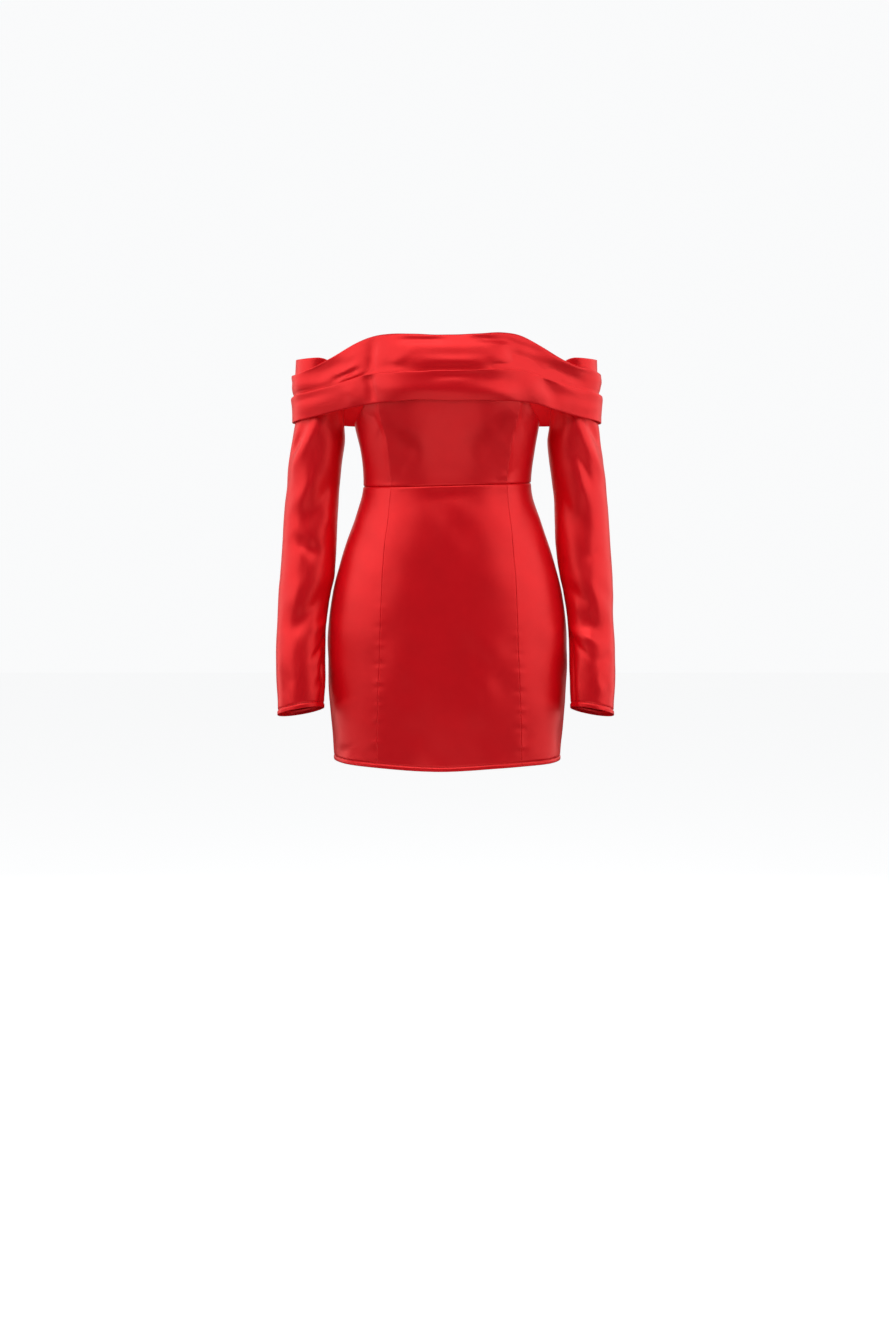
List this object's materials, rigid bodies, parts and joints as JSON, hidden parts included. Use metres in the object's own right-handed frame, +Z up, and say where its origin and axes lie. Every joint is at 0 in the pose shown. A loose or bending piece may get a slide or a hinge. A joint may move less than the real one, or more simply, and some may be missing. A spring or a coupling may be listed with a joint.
{
  "type": "off-shoulder mini dress",
  "caption": "Fitted satin mini dress with a pleated off-shoulder collar, long sleeves and princess seams, holding its worn hollow form.",
  "frame": {"origin": "middle of the waist seam, where the dress is held on its wearer", "axes": "+Z up along the wearer's body, -Y out of the front of the dress, +X towards the wearer's left"},
  "size_m": [0.4775, 0.2529, 0.6012],
  "materials": {
    "satin": "heavy red satin, smooth and softly glossy"
  },
  "bodies": {
    "root": {"bodice_front_centre": "satin", "bodice_side_front_right": "satin", "bodice_side_front_left": "satin", "bodice_back_right": "satin", "bodice_back_left": "satin", "skirt_front_centre": "satin", "skirt_side_front_right": "satin", "skirt_side_front_left": "satin", "skirt_back_right": "satin", "skirt_back_left": "satin", "sleeve_right": "satin", "sleeve_left": "satin", "collar_front": "satin", "collar_back": "satin"}
  },
  "joints": []
}
